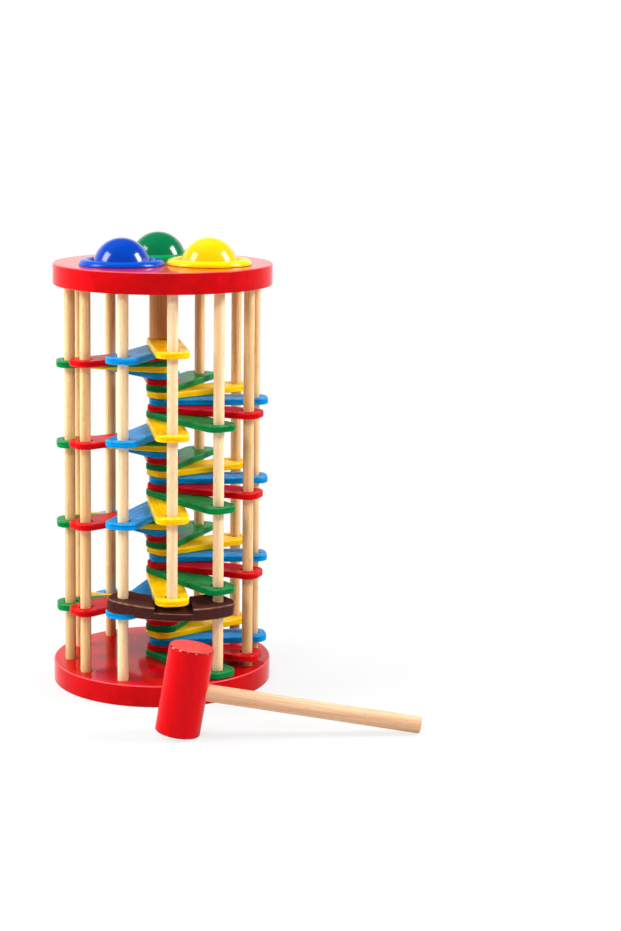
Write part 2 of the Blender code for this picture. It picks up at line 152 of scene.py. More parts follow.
# Satin paint brushed on the hammer's head: scuffed pale on the two faces that strike, and along the rims
# the thick paint is dark and chipped.
def makeHammerPaint(name, light, dark, scuff, thick, bare):
    material, tree, shader = startMaterial(name, {
        "Specular IOR Level": 0.02, "Coat Weight": 0.9, "Coat Roughness": 0.3, "Coat IOR": 1.16})
    where = addNode(tree, "TexCoord").outputs["Object"]
    # Brush marks 4 mm wide, up and down the head
    brushCells = addNode(tree, "Mapping", {"Scale": (4 * mm, 4 * mm, 30 * mm)}, {"Vector": where},
                         vector_type="TEXTURE")
    brush = addNode(tree, "TexNoise", {"Scale": 1, "Detail": 4, "Roughness": 0.65},
                    {"Vector": brushCells.outputs[0]})
    colour = addNode(tree, "Mix", {6: linear(light), 7: linear(dark)}, {0: brush.outputs[0]},
                     data_type="RGBA")
    scuffShare = addNode(tree, "MapRange", {"From Min": 0.3, "From Max": 0.75, "To Min": 0.3, "To Max": 1},
                         {"Value": brush.outputs[0]})
    struck = addNode(tree, "Attribute", attribute_name="struck")
    struckShare = addNode(tree, "Math", links={0: struck.outputs["Fac"], 1: scuffShare.outputs[0]},
                          operation="MULTIPLY")
    scuffed = addNode(tree, "Mix", {7: linear(scuff)}, {0: struckShare.outputs[0], 6: colour.outputs[2]},
                      data_type="RGBA")
    # Chips of 3 mm along the rims
    chip = addNode(tree, "TexNoise", {"Scale": 1 / (3 * mm), "Detail": 3, "Roughness": 0.7},
                   {"Vector": where})
    chipShare = addNode(tree, "MapRange", {"From Min": 0.58, "From Max": 0.62}, {"Value": chip.outputs[0]})
    rim = addNode(tree, "Mix", {6: linear(thick), 7: linear(bare)}, {0: chipShare.outputs[0]},
                  data_type="RGBA")
    edge = addNode(tree, "Attribute", attribute_name="edge")
    chipped = addNode(tree, "Mix", links={0: edge.outputs["Fac"], 6: scuffed.outputs[2], 7: rim.outputs[2]},
                      data_type="RGBA")
    rough = addNode(tree, "MapRange", {"To Min": 0.34, "To Max": 0.46}, {"Value": brush.outputs[0]})
    bump = addNode(tree, "Bump", {"Strength": 0.15, "Distance": 0.08 * mm}, {"Height": chip.outputs[0]})
    linkSurface(tree, shader, chipped, rough, bump)
    return material


# Satin-gloss paint dipped on wooden slats: the grain shows through as fine ridges along the slat, and the
# paint is paler in patches along the edges, where it wears thin, and partly as a painted highlight.
def makeSlatPaint(name, light, dark, thin):
    material, tree, shader = startMaterial(name, {
        "Specular IOR Level": 0.01, "Coat Weight": 0.4, "Coat Roughness": 0.14, "Coat IOR": 1.13})
    where = addNode(tree, "UVMap", uv_map="grain").outputs[0]
    # Grain ridges 2.2 mm across and 20 mm long. Real ones are half as wide and would not show.
    ridgeCells = addNode(tree, "Mapping", {"Scale": (20 * mm, 2.2 * mm, 1)}, {"Vector": where},
                         vector_type="TEXTURE")
    ridge = addNode(tree, "TexNoise", {"Scale": 1, "Detail": 3, "Roughness": 0.6},
                    {"Vector": ridgeCells.outputs[0]})
    ridgeShare = addNode(tree, "MapRange", {"From Min": 0.38, "From Max": 0.66},
                         {"Value": ridge.outputs[0]}, interpolation_type="SMOOTHSTEP")
    colour = addNode(tree, "Mix", {6: linear(light), 7: linear(dark)}, {0: ridgeShare.outputs[0]},
                     data_type="RGBA")
    # Paler paint on the rounded edges, broken up over 3 mm: paint wearing thin, and partly a painted
    # highlight
    patchCells = addNode(tree, "Mapping", {"Scale": (3 * mm, 3 * mm, 1)}, {"Vector": where},
                         vector_type="TEXTURE")
    patch = addNode(tree, "TexNoise", {"Scale": 1, "Detail": 3}, {"Vector": patchCells.outputs[0]})
    patchShare = addNode(tree, "MapRange", {"From Min": 0.38, "From Max": 0.65, "To Max": 0.6},
                         {"Value": patch.outputs[0]})
    edge = addNode(tree, "Attribute", attribute_name="edge")
    edgeShare = addNode(tree, "Math", links={0: edge.outputs["Fac"], 1: patchShare.outputs[0]},
                        operation="MULTIPLY")
    edged = addNode(tree, "Mix", {7: linear(thin)}, {0: edgeShare.outputs[0], 6: colour.outputs[2]},
                    data_type="RGBA")
    rough = addNode(tree, "MapRange", {"To Min": 0.26, "To Max": 0.4}, {"Value": patch.outputs[0]})
    bump = addNode(tree, "Bump", {"Strength": 0.3, "Distance": 0.06 * mm}, {"Height": ridge.outputs[0]})
    linkSurface(tree, shader, edged, rough, bump)
    return material


# Dark brown stain under thin varnish, on the bridge: lighter along its edges, where the stain wears through
# to the wood, and partly a painted highlight.
def makeBrownStain(name, light, dark, rubbedAndSheen):
    material, tree, shader = startMaterial(name, {"Specular IOR Level": 0.06})
    where = addNode(tree, "TexCoord").outputs["Object"]
    # Grain lines 1.3 mm apart, across the front. Real ones are half of that and would not show.
    grainCells = addNode(tree, "Mapping", {"Scale": (22 * mm, 1.3 * mm, 1.3 * mm)}, {"Vector": where},
                         vector_type="TEXTURE")
    grain = addNode(tree, "TexNoise", {"Scale": 1, "Detail": 4, "Roughness": 0.65},
                    {"Vector": grainCells.outputs[0]})
    grainShare = addNode(tree, "MapRange", {"From Min": 0.35, "From Max": 0.7}, {"Value": grain.outputs[0]})
    colour = addNode(tree, "Mix", {6: linear(light), 7: linear(dark)}, {0: grainShare.outputs[0]},
                     data_type="RGBA")
    # Lighter patches of 3.5 mm along the edges: wood showing through, and a painted highlight
    rub = addNode(tree, "TexNoise", {"Scale": 1 / (3.5 * mm), "Detail": 4, "Roughness": 0.7},
                  {"Vector": where})
    rubAndSheenShare = addNode(tree, "MapRange", {"From Min": 0.4, "From Max": 0.6, "To Min": 0.25, "To Max": 0.9},
                       {"Value": rub.outputs[0]})
    edge = addNode(tree, "Attribute", attribute_name="edge")
    edgeShare = addNode(tree, "Math", links={0: edge.outputs["Fac"], 1: rubAndSheenShare.outputs[0]},
                        operation="MULTIPLY")
    wornAndSheen = addNode(tree, "Mix", {7: linear(rubbedAndSheen)}, {0: edgeShare.outputs[0], 6: colour.outputs[2]},
                   data_type="RGBA")
    rough = addNode(tree, "MapRange", {"To Min": 0.3, "To Max": 0.48}, {"Value": rub.outputs[0]})
    bump = addNode(tree, "Bump", {"Strength": 0.3, "Distance": 0.06 * mm}, {"Height": grain.outputs[0]})
    linkSurface(tree, shader, wornAndSheen, rough, bump)
    return material


# Soft glossy plastic, moulded, on the collars: smooth, with slow waves of 9 mm in the skin.
def makeSoftPlastic(name, light, dark):
    material, tree, shader = startMaterial(name, {"Specular IOR Level": 0.25})
    where = addNode(tree, "TexCoord").outputs["Object"]
    wave = addNode(tree, "TexNoise", {"Scale": 1 / (9 * mm), "Detail": 2}, {"Vector": where})
    colour = addNode(tree, "Mix", {6: linear(light), 7: linear(dark)}, {0: wave.outputs[0]},
                     data_type="RGBA")
    rough = addNode(tree, "MapRange", {"To Min": 0.12, "To Max": 0.24}, {"Value": wave.outputs[0]})
    bump = addNode(tree, "Bump", {"Strength": 0.15, "Distance": 0.1 * mm}, {"Height": wave.outputs[0]})
    linkSurface(tree, shader, colour, rough, bump)
    return material


# High-gloss lacquer on turned wooden balls: bright clear highlights, a deep colour that drifts over 14 mm,
# and a very slight orange peel of 2.2 mm.
def makeBallLacquer(name, light, dark):
    material, tree, shader = startMaterial(name, {
        "Specular IOR Level": 0.05, "Coat Weight": 1.0, "Coat Roughness": 0.15, "Coat IOR": 1.5})
    where = addNode(tree, "TexCoord").outputs["Object"]
    depth = addNode(tree, "TexNoise", {"Scale": 1 / (14 * mm), "Detail": 3}, {"Vector": where})
    colour = addNode(tree, "Mix", {6: linear(light), 7: linear(dark)}, {0: depth.outputs[0]},
                     data_type="RGBA")
    rough = addNode(tree, "MapRange", {"To Min": 0.1, "To Max": 0.2}, {"Value": depth.outputs[0]})
    peel = addNode(tree, "TexNoise", {"Scale": 1 / (2.2 * mm), "Detail": 2}, {"Vector": where})
    bump = addNode(tree, "Bump", {"Strength": 0.02, "Distance": 0.04 * mm}, {"Height": peel.outputs[0]})
    linkSurface(tree, shader, colour, rough, bump)
    return material


# lit and shaded copies of one beech: the paler copy is painted light on the front posts, the tan copy
# painted shade on the rear posts
litBeech = makeBeech("front_lit_beech_dowel", ("#FFE3BA", "#F9D5A6", "#E4BA88", "#B4804E"))
shadedBeech = makeBeech("rear_shaded_beech_dowel", ("#F0CB98", "#E4B880", "#CC9860", "#9E6A3A"))
# a still darker copy of the same beech: painted shade on the centre dowel, which stands under the top disc
# and the steps
deepShadedBeech = makeBeech("deep_shaded_beech_dowel", ("#D6A46A", "#CC945A", "#B67C44", "#8E5C32"))
# the last colour is a painted highlight along the discs' upper rims
redLacquer = makeLacquer("red_lacquer_on_board", "#D0040C", "#B20107", "#EE5E66")
# the last colour of each paint is for the edges: wear and a painted highlight
slatPaints = {
    "yellow": makeSlatPaint("yellow_paint_on_slats", "#FFCE07", "#F2B804", "#FFE268"),
    "blue": makeSlatPaint("blue_paint_on_slats", "#0596E2", "#0474BC", "#4CB6F0"),
    "red": makeSlatPaint("red_paint_on_slats", "#D0080F", "#B0050C", "#EC4446"),
    "green": makeSlatPaint("green_paint_on_slats", "#0A823C", "#076632", "#44A86C"),
}
# the last colour is for the edges: wood showing through, and a painted highlight
brownStain = makeBrownStain("brown_stain_on_wood", "#4E2823", "#3A1A17", "#98725F")
collarPlastics = {
    "blue": makeSoftPlastic("blue_soft_plastic", "#034EC0", "#0240AA"),
    "yellow": makeSoftPlastic("yellow_soft_plastic", "#F6D004", "#EEC202"),
    "green": makeSoftPlastic("green_soft_plastic", "#06884C", "#047A42"),
}
ballLacquers = {
    "blue": makeBallLacquer("blue_lacquered_ball", "#0141AE", "#01379A"),
    "yellow": makeBallLacquer("yellow_lacquered_ball", "#EEC404", "#E8B603"),
    "green": makeBallLacquer("green_lacquered_ball", "#046E42", "#03633A"),
}
print("materials made")


def onCircle(radius, angle):
    turn = math.radians(angle)   # from the front, growing to +X
    return Vector((radius * math.sin(turn), -radius * math.cos(turn), 0))


def roundEdges(bm, edges, radius, segments):
    made = bmesh.ops.bevel(bm, geom=edges, offset=radius, offset_type="OFFSET", segments=segments,
                           profile=0.5, affect="EDGES", material=-1, clamp_overlap=True)
    return made["faces"]


def levelEdges(bm):
    return [e for e in bm.edges if abs(e.verts[0].co.z - e.verts[1].co.z) < weld]


def sharpEdges(bm, angle):
    return [e for e in bm.edges if len(e.link_faces) == 2 and e.calc_face_angle(0) > math.radians(angle)]


def addRods(bm, places, diameter, bottom, top, sides):
    for x, y, *_ in places:
        middle = Matrix.Translation((x, y, (bottom + top) / 2))
        bmesh.ops.create_cone(bm, cap_ends=True, segments=sides, radius1=diameter / 2,
                              radius2=diameter / 2, depth=top - bottom, matrix=middle)


def turnProfile(profile, steps, closed=False):
    bm = bmesh.new()
    points = [bm.verts.new((radius, 0, height)) for radius, height in profile]
    pairs = list(zip(points, points[1:]))
    if closed:
        pairs.append((points[-1], points[0]))
    edges = [bm.edges.new(pair) for pair in pairs]
    bmesh.ops.spin(bm, geom=points + edges, cent=(0, 0, 0), axis=(0, 0, 1), angle=2 * math.pi,
                   steps=steps, use_merge=True)
    bmesh.ops.remove_doubles(bm, verts=bm.verts, dist=weld)
    bmesh.ops.recalc_face_normals(bm, faces=bm.faces)
    return bm


def meshFrom(bm, name):
    mesh = bpy.data.meshes.new(name)
    bm.to_mesh(mesh)
    bm.free()
    return mesh


def cutAway(bm, cutters):
    helpers = [bpy.data.objects.new("blank", meshFrom(bm, "blank"))]
    for cutter in cutters:
        helpers.append(bpy.data.objects.new("cutter", meshFrom(cutter, "cutter")))
    for helper in helpers:
        bpy.context.scene.collection.objects.link(helper)
    for helper in helpers[1:]:
        cut = helpers[0].modifiers.new("cut", "BOOLEAN")
        cut.object = helper
        cut.solver = "EXACT"
    bpy.context.view_layer.update()
    drilled = helpers[0].evaluated_get(bpy.context.evaluated_depsgraph_get())
    result = bmesh.new()
    result.from_mesh(drilled.to_mesh())
    drilled.to_mesh_clear()
    for helper in helpers:
        mesh = helper.data
        bpy.data.objects.remove(helper, do_unlink=True)
        bpy.data.meshes.remove(mesh)
    bmesh.ops.remove_doubles(result, verts=result.verts, dist=weld)
    return result


def addPiece(name, bm, material, node):
    piece = bpy.data.objects.new(name, meshFrom(bm, name))
    bpy.context.scene.collection.objects.link(piece)
    piece.data.materials.append(material)
    piece.data.shade_smooth()
    piece.data.set_sharp_from_angle(angle=math.radians(creaseAngle))
    shading = piece.modifiers.new("even_shading", "WEIGHTED_NORMAL")
    shading.keep_sharp = True
    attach(piece, bodyOfNode[node])
    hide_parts(node)


discs = {"diameter": 165 * mm, "edge": 1.1 * mm, "edgeSteps": 4, "sides": 144, "holeDepth": 8.3 * mm}
# the posts listed under pale are the front ones, which get the lit copy of the beech: painted light
posts = {
    "count": 12, "diameter": 8 * mm, "ring": 70 * mm, "ease": 0.5 * mm, "easeSteps": 2, "sides": 32,
    "footHole": 9.4 * mm, "pale": (1, 2, 12),
}
spindle = {
    "thick": 20 * mm, "thin": 10 * mm, "ease": 0.5 * mm, "sides": 48,
    "holeRoom": 0.5 * mm, "gap": 0.3 * mm,
}
# on this ring the three collars stand 1.6 mm apart
collars = {
    "ring": 37.528 * mm, "hole": 48.4 * mm, "holeSides": 72,
    "angles": {"blue": -60, "yellow": 60, "green": 180},
}
postPitch = 360 / posts["count"]   # degrees from one post to the next
postPlaces = [onCircle(posts["ring"], postPitch * i) for i in range(posts["count"])]
collarPlaces = {colour: onCircle(collars["ring"], angle) for colour, angle in collars["angles"].items()}
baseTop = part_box("base_disc")[1].z
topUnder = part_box("top_disc")[0].z
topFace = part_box("top_disc")[1].z


def addDisc(name, node, holes):
    low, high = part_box(node)
    bm = bmesh.new()
    addRods(bm, [(0, 0)], discs["diameter"], low.z, high.z, discs["sides"])
    edgeLayer = bm.faces.layers.float.new("edge")
    # the upper rim is marked for the paler lacquer colour: a painted highlight
    for face in roundEdges(bm, levelEdges(bm), discs["edge"], discs["edgeSteps"]):
        face[edgeLayer] = 1 if face.normal.z > 0.3 else 0   # only the rim that looks up
    cutters = []
    for places, diameter, bottom, top, sides in holes:
        cutter = bmesh.new()
        addRods(cutter, places, diameter, bottom, top, sides)
        cutters.append(cutter)
    addPiece(name, cutAway(bm, cutters), redLacquer, node)


footBottom, footTop = baseTop - discs["holeDepth"], baseTop + discs["holeDepth"]
headBottom, headTop = topUnder - discs["holeDepth"], topUnder + discs["holeDepth"]
addDisc("base_board", "base_disc", [
    (postPlaces[1:], posts["footHole"], footBottom, footTop, posts["sides"]),   # the front post ends higher
    ([(0, 0)], spindle["thin"] + spindle["holeRoom"], footBottom, footTop, posts["sides"]),
])
addDisc("top_board", "top_disc", [
    (postPlaces, posts["footHole"], headBottom, headTop, posts["sides"]),
    ([(0, 0)], spindle["thick"] + spindle["holeRoom"], headBottom, headTop, spindle["sides"]),
    (collarPlaces.values(), collars["hole"], headBottom, topFace + discs["holeDepth"],
     collars["holeSides"]),
])
for index, place in enumerate(postPlaces):
    node = f"post_{index + 1:02d}"
    low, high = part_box(node)
    bm = bmesh.new()
    addRods(bm, [place], posts["diameter"], low.z, high.z, posts["sides"])
    roundEdges(bm, levelEdges(bm), posts["ease"], posts["easeSteps"])
    # the three front posts take the lighter copy of the beech and the rest the darker copy: painted light
    # at the front, painted shade at the rear
    beech = litBeech if index + 1 in posts["pale"] else shadedBeech
    addPiece(f"post_dowel_{index + 1:02d}", bm, beech, node)

low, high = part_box("centre_post")
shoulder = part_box("step_01")[1].z + spindle["gap"]
thick, thin, ease = spindle["thick"] / 2, spindle["thin"] / 2, spindle["ease"]
# the centre dowel takes the darkest copy of the beech: painted shade
addPiece("centre_dowel", turnProfile([
    (0, high.z), (thick - ease, high.z), (thick, high.z - ease), (thick, shoulder + ease),
    (thick - ease, shoulder), (thin, shoulder), (thin, low.z + ease), (thin - ease, low.z), (0, low.z),
], spindle["sides"]), deepShadedBeech, "centre_post")
print("discs and posts made")

# sag, underBridge and play are in degrees
slat = {
    "count": 48, "colours": ("yellow", "blue", "red", "green"), "onBridge": 37, "paired": range(5, 11),
    "thick": 4.9 * mm, "cadThick": 4.7 * mm, "gap": 0.3 * mm, "reach": 80 * mm, "back": 10.1 * mm,
    "tipWidth": 25 * mm, "hubWidth": 24.4 * mm, "tipRound": 9 * mm, "hubRound": 8 * mm, "roundSteps": 7,
    "postHole": 10.5 * mm, "postHoleIn": 0.4 * mm, "spindleHole": 11.2 * mm, "holeSides": 32,
    "drill": (-10 * mm, 20 * mm), "rimBand": 0.1 * mm, "edge": 0.9 * mm, "edgeSteps": 3,
    "holeEdge": 0.35 * mm, "holeEdgeSteps": 2,
    "sag": 0.033, "underBridge": (-5.0, -2.6, -1.2, -0.5, -0.5), "play": 0.25, "grainShift": 4,
}
# the outer ends sag more with each step down, and most right under the bridge
tilts = {number: -slat["sag"] * (number - 1) for number in range(1, slat["onBridge"] + 1)}
tilts.update({slat["onBridge"] + 1 + i: tilt for i, tilt in enumerate(slat["underBridge"])})


def slatSlope(number):
    return math.tan(math.radians(tilts.get(number, 0)))


def slatBottoms():
    # stacked up from the base; tilted slats need room where they would meet
    lapReach = slat["tipWidth"] / 2 / math.tan(math.radians(postPitch / 2))
    bottoms = {slat["count"]: baseTop + slat["gap"]}
    for number in range(slat["count"] - 1, 0, -1):
        closing = slatSlope(number + 1) - slatSlope(number)
        room = max(closing * lapReach, -closing * slat["back"])
        bottoms[number] = bottoms[number + 1] + slat["cadThick"] + slat["gap"] + room
    return bottoms


bottoms = slatBottoms()


def slatPlace(number, yaw=0):
    heading = math.radians(-postPitch * (number - 1) - 90 + yaw)
    lean = Matrix.Rotation(-math.atan(slatSlope(number)), 4, "Y")
    return Matrix.Translation((0, 0, bottoms[number])) @ Matrix.Rotation(heading, 4, "Z") @ lean


def slatNode(number):
    # the rear slats of each turn are solids in pairs
    inTurn = (number - 1) % posts["count"] + 1
    if inTurn not in slat["paired"]:
        return f"step_{number:02d}"
    upper = number if inTurn % 2 else number - 1
    return f"steps_{upper:02d}_{upper + 1:02d}"


def onRim(edge, centre, diameter):
    # the hole has flats, so points of its rim can lie a little inside the circle
    away = [math.hypot(v.co.x - centre[0], v.co.y - centre[1]) for v in edge.verts]
    return all(abs(distance - diameter / 2) < slat["rimBand"] for distance in away)


def makeSlat():
    bm = bmesh.new()
    length = slat["reach"] + slat["back"]
    bmesh.ops.create_cube(bm, size=1)
    bmesh.ops.scale(bm, vec=(length, slat["tipWidth"], slat["thick"]), verts=bm.verts)
    bmesh.ops.translate(bm, vec=(length / 2 - slat["back"], 0, slat["cadThick"] / 2), verts=bm.verts)
    hub = [v for v in bm.verts if v.co.x < 0]
    bmesh.ops.scale(bm, vec=(1, slat["hubWidth"] / slat["tipWidth"], 1), verts=hub)
    for end, radius in ((slat["reach"], slat["tipRound"]), (-slat["back"], slat["hubRound"])):
        level = set(levelEdges(bm))
        corners = [e for e in bm.edges if e not in level and abs(e.verts[0].co.x - end) < near]
        roundEdges(bm, corners, radius, slat["roundSteps"])

    postHole = (posts["ring"] - slat["postHoleIn"], 0)
    holes = bmesh.new()
    addRods(holes, [postHole], slat["postHole"], *slat["drill"], slat["holeSides"])
    addRods(holes, [(0, 0)], slat["spindleHole"], *slat["drill"], slat["holeSides"])
    bm = cutAway(bm, [holes])
    level = set(levelEdges(bm))
    outer = [e for e in sharpEdges(bm, creaseAngle) if e in level
             and not onRim(e, postHole, slat["postHole"]) and not onRim(e, (0, 0), slat["spindleHole"])]
    # the rounded edges are marked for the paler paint: wear and a painted highlight
    edgeLayer = bm.faces.layers.float.new("edge")
    for face in roundEdges(bm, outer, slat["edge"], slat["edgeSteps"]):
        face[edgeLayer] = 1
    level = set(levelEdges(bm))
    rims = [e for e in sharpEdges(bm, squareAngle) if e in level]   # only the holes' rims are still square
    for face in roundEdges(bm, rims, slat["holeEdge"], slat["holeEdgeSteps"]):
        face[edgeLayer] = 1
    return meshFrom(bm, "slat")


slatMesh = makeSlat()
for number in range(1, slat["count"] + 1):
    colour = slat["colours"][(number - 1) % len(slat["colours"])]
    bm = bmesh.new()
    bm.from_mesh(slatMesh)
    # the grain runs along the slat, and each slat shows another stretch of it
    grainMap = bm.loops.layers.uv.new("grain")
    shift = Vector((chance.uniform(0, slat["grainShift"]), chance.uniform(0, slat["grainShift"])))
    for face in bm.faces:
        isFlat = abs(face.normal.z) > 0.5
        for loop in face.loops:
            x, y, z = loop.vert.co
            loop[grainMap].uv = shift + Vector((x, y) if isFlat else (x + y, z))
    bm.transform(slatPlace(number, chance.uniform(-slat["play"], slat["play"])))
    addPiece(f"step_slat_{number:02d}", bm, slatPaints[colour], slatNode(number))
bpy.data.meshes.remove(slatMesh)
print("steps made")

# pitch and roll are in degrees
bridge = {
    "inner": 56 * mm, "outer": 81 * mm, "thick": 9.8 * mm, "past": 10.5 * mm, "corner": 8 * mm,
    "arcSteps": 16, "edge": 0.9 * mm, "edgeSteps": 3, "sillEdge": 0.45 * mm, "sillSteps": 2,
    "drop": 6.3 * mm, "pitch": 8, "roll": 4, "recess": 3.8 * mm, "recessRoom": 1.7 * mm,
    "recessMiddle": 80 * mm, "slatRoom": 0.9 * mm, "cutLength": 100 * mm, "cutHeight": 20 * mm,
    "postHole": 9.8 * mm, "holeSides": 32,
}


def bridgePlate():
    # half the outline as arcs from the front round to the back, mirrored, filled and drawn up
    corner = bridge["corner"]
    end = postPitch + math.degrees(bridge["past"] / posts["ring"])
    outer, inner = bridge["outer"] - corner, bridge["inner"] + corner
    outerTurn, innerTurn = [end - math.degrees(math.asin(corner / radius)) for radius in (outer, inner)]
    outerEnd, innerEnd, axis = onCircle(outer, outerTurn), onCircle(inner, innerTurn), Vector((0, 0, 0))
    arcs = [
        (onCircle(bridge["outer"], 0), axis, outerTurn),
        (onCircle(bridge["outer"], outerTurn), outerEnd, end + 90 - outerTurn),
        (innerEnd + onCircle(corner, end + 90), innerEnd, innerTurn + 90 - end),
        (onCircle(bridge["inner"], innerTurn), axis, -innerTurn),
    ]
    bm = bmesh.new()
    lastPoint = None
    for start, centre, turn in arcs:
        point = bm.verts.new(start)
        if lastPoint:
            bm.edges.new((lastPoint, point))
        spun = bmesh.ops.spin(bm, geom=[point], cent=centre, axis=(0, 0, 1), angle=math.radians(turn),
                              steps=bridge["arcSteps"])
        lastPoint = next(v for v in spun["geom_last"] if isinstance(v, bmesh.types.BMVert))
    bmesh.ops.remove_doubles(bm, verts=bm.verts, dist=weld)
    bmesh.ops.mirror(bm, geom=bm.verts[:] + bm.edges[:], axis="X", merge_dist=weld)
    bmesh.ops.contextual_create(bm, geom=bm.edges[:])
    drawn = bmesh.ops.extrude_face_region(bm, geom=bm.faces[:])
    raised = [v for v in drawn["geom"] if isinstance(v, bmesh.types.BMVert)]
    bmesh.ops.translate(bm, vec=(0, 0, bridge["thick"]), verts=raised)
    bmesh.ops.recalc_face_normals(bm, faces=bm.faces)
    return bm


def makeBridge():
    # modelled level about the front post, then set in its place, which hangs low at the front and to +X
    front = onCircle(posts["ring"], 0)
    middle = Vector((0, 0, bottoms[slat["onBridge"]] - bridge["drop"]))
    place = Matrix.Translation(front + middle) @ Matrix.Rotation(math.radians(bridge["pitch"]), 4, "X")
    place = place @ Matrix.Rotation(math.radians(bridge["roll"]), 4, "Y") @ Matrix.Translation(-front)
    half = bridge["thick"] / 2
    recessFloor = half - bridge["recess"]
    bm = bridgePlate()
    bmesh.ops.translate(bm, vec=(0, 0, -half), verts=bm.verts)
    # the rounded edges are marked for the lighter colour: wood showing through, and a painted highlight
    edgeLayer = bm.faces.layers.float.new("edge")
    for face in roundEdges(bm, levelEdges(bm), bridge["edge"], bridge["edgeSteps"]):
        face[edgeLayer] = 1

    recess, over, under, holes = [bmesh.new() for _ in range(4)]
    length, height = bridge["cutLength"], bridge["cutHeight"]
    width = slat["tipWidth"] + 2 * bridge["recessRoom"]
    centre = Matrix.Translation((0, -bridge["recessMiddle"], recessFloor + height / 2))
    bmesh.ops.create_cube(recess, size=1, matrix=centre @ Matrix.Diagonal((width, length, height, 1)))
    # room for the slat that comes down on the bridge and for the one right under it
    width = slat["tipWidth"] + 2 * bridge["slatRoom"]
    slatTop = slat["cadThick"] + slat["gap"]
    for box, number, bottom, top in ((over, slat["onBridge"], -slat["gap"], height),
                                     (under, slat["onBridge"] + 1, -height, slatTop)):
        size = Matrix.Diagonal((length, width, top - bottom, 1))
        centre = Matrix.Translation((length / 2, 0, (bottom + top) / 2))
        bmesh.ops.create_cube(box, size=1, matrix=slatPlace(number) @ centre @ size)
    sidePosts = [onCircle(posts["ring"], -postPitch), onCircle(posts["ring"], postPitch)]
    addRods(holes, sidePosts, bridge["postHole"], 0, topUnder, bridge["holeSides"])
    for cutter in (over, under, holes):
        cutter.transform(place.inverted())
    bm = cutAway(bm, [recess, over, under, holes])

    edgeLayer = bm.faces.layers.float["edge"]
    # the sill's rim is marked for the lighter colour too: wood showing through, and a painted highlight on
    # the recess edge
    sill = [e for e in sharpEdges(bm, squareAngle) if e.is_convex
            and all(abs(v.co.z - recessFloor) < near for v in e.verts)]
    for face in roundEdges(bm, sill, bridge["sillEdge"], bridge["sillSteps"]):
        face[edgeLayer] = 1
    bm.transform(place)
    return bm


addPiece("bridge_board", makeBridge(), brownStain, "bridge")
print("bridge made")

# rise is of the ball's middle over the top disc; outer, inner, sleeve and lip are radii
ball = {"radius": 21.2 * mm, "rise": -1 * mm, "rings": 64, "sides": 112}
collar = {
    "outer": 31.7 * mm, "inner": 23.2 * mm, "height": 4 * mm, "beadSteps": 20, "gap": 0.3 * mm,
    "sleeve": 23.9 * mm, "lip": 20.2 * mm, "lipHeight": 3 * mm, "footWidth": 2.2 * mm, "sides": 112,
}


def ballProfile():
    turns = [math.pi * i / ball["rings"] for i in range(ball["rings"] + 1)]
    return [(ball["radius"] * math.sin(t), ball["radius"] * math.cos(t)) for t in turns]


def collarProfile():
    # a bead on the disc, a sleeve down the hole and a lip that the ball rests on
    middle = (collar["outer"] + collar["inner"]) / 2
    half = (collar["outer"] - collar["inner"]) / 2
    turns = [math.pi * (1 - i / collar["beadSteps"]) for i in range(collar["beadSteps"] + 1)]
    bead = [(middle + half * math.cos(t), collar["gap"] + collar["height"] * math.sin(t)) for t in turns]
    sleeve, lip = collar["sleeve"], collar["lip"]
    lipTop = ball["rise"] - math.sqrt((ball["radius"] + collar["gap"]) ** 2 - lip ** 2)
    foot = lipTop - collar["lipHeight"]
    return bead + [
        (sleeve, collar["gap"]), (sleeve, foot), (sleeve - collar["footWidth"], foot),
        (lip, lipTop - collar["lipHeight"] / 3), (lip, lipTop),
    ]


for colour, place in collarPlaces.items():
    seat = place + Vector((0, 0, topFace))
    bm = turnProfile(ballProfile(), ball["sides"])
    bmesh.ops.translate(bm, vec=seat + Vector((0, 0, ball["rise"])), verts=bm.verts)
    addPiece(f"turned_ball_{colour}", bm, ballLacquers[colour], "ball_" + colour)
    bm = turnProfile(collarProfile(), collar["sides"], closed=True)
    bmesh.ops.translate(bm, vec=seat, verts=bm.verts)
    addPiece(f"collar_ring_{colour}", bm, collarPlastics[colour], "collar_" + colour)
print("balls and collars made")

# heading is in degrees; the cad sizes set the lean, and the pieces shown are a little slimmer
hammer = {
    "at": (1 * mm, -146 * mm), "heading": -6.4, "cadHead": 32 * mm, "cadHandle": 12 * mm,
    "headDiameter": 31.9 * mm, "headLength": 62 * mm, "headEdge": 0.9 * mm, "headEdgeSteps": 4,
    "headSides": 96, "handleDiameter": 11.9 * mm, "handleEdge": 1.2 * mm, "handleEdgeSteps": 3,
    "handleSides": 48, "reach": 168 * mm, "socket": 8 * mm,
    "boreRoom": 0.4 * mm, "boreDeeper": 0.3 * mm, "boreOut": 30 * mm,
}
# the head's lower rim and the handle's end rest on the floor
lean = math.atan((hammer["headLength"] - hammer["cadHandle"]) / (2 * hammer["reach"] - hammer["cadHead"]))
headHalf = hammer["headLength"] / 2
headHeight = headHalf * math.cos(lean) + hammer["cadHead"] / 2 * math.sin(lean)
hammerPlace = Matrix.Translation((*hammer["at"], headHeight))
hammerPlace = hammerPlace @ Matrix.Rotation(math.radians(hammer["heading"]), 4, "Z")
hammerPlace = hammerPlace @ Matrix.Rotation(lean, 4, "Y")
alongHandle = hammerPlace @ Matrix.Rotation(math.radians(90), 4, "Y")
handleBeech = makeBeech("beech_handle", ("#F0C6A3", "#E4B48E", "#C79269", "#9B6944"),
                        alongHandle.to_euler())
headPaint = makeHammerPaint("red_paint_on_hammer", "#E4040F", "#BE0109", "#EA4A46", "#9C0308", "#EFB0A2")

